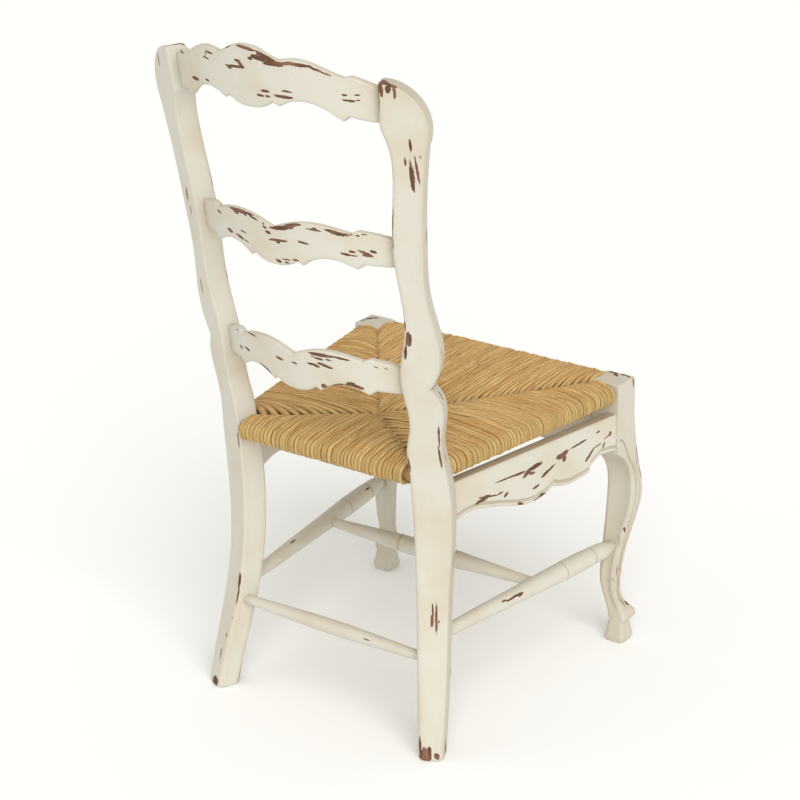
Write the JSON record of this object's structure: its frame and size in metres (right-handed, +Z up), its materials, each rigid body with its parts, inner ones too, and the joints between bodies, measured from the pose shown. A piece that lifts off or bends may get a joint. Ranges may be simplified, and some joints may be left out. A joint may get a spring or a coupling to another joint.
{
  "type": "dining chair",
  "caption": "Ladder-back dining chair with a woven rush seat, scalloped slats and aprons, cabriole front legs and turned stretchers.",
  "frame": {"origin": "on the floor, under the middle of the chair's outer box", "axes": "+Z up; the sitter faces -Y; +X is the sitter's left"},
  "size_m": [0.5244, 0.6258, 1.0779],
  "materials": {
    "painted_wood": "satin cream paint, rubbed through to brown wood at edges and in chips",
    "bare_wood": "plain unfinished hardwood, hidden inside the rush",
    "rush": "twisted golden rush cord, dry and slightly glossy",
    "stuffing": "packed loose rush, hidden inside the weave"
  },
  "bodies": {
    "root": {"rear_post_left": "painted_wood", "rear_post_right": "painted_wood", "front_leg_left": "painted_wood", "front_leg_right": "painted_wood", "lower_slat": "painted_wood", "middle_slat": "painted_wood", "top_slat": "painted_wood", "apron_left": "painted_wood", "apron_right": "painted_wood", "apron_front": "painted_wood", "stretcher_left": "painted_wood", "stretcher_right": "painted_wood", "stretcher_cross": "painted_wood", "stretcher_rear": "painted_wood", "seat_rail_front": "bare_wood", "seat_rail_rear": "bare_wood", "seat_rail_left": "bare_wood", "seat_rail_right": "bare_wood", "rush_front": "rush", "rush_left": "rush", "rush_rear": "rush", "rush_right": "rush", "seat_stuffing": "stuffing"}
  },
  "joints": []
}
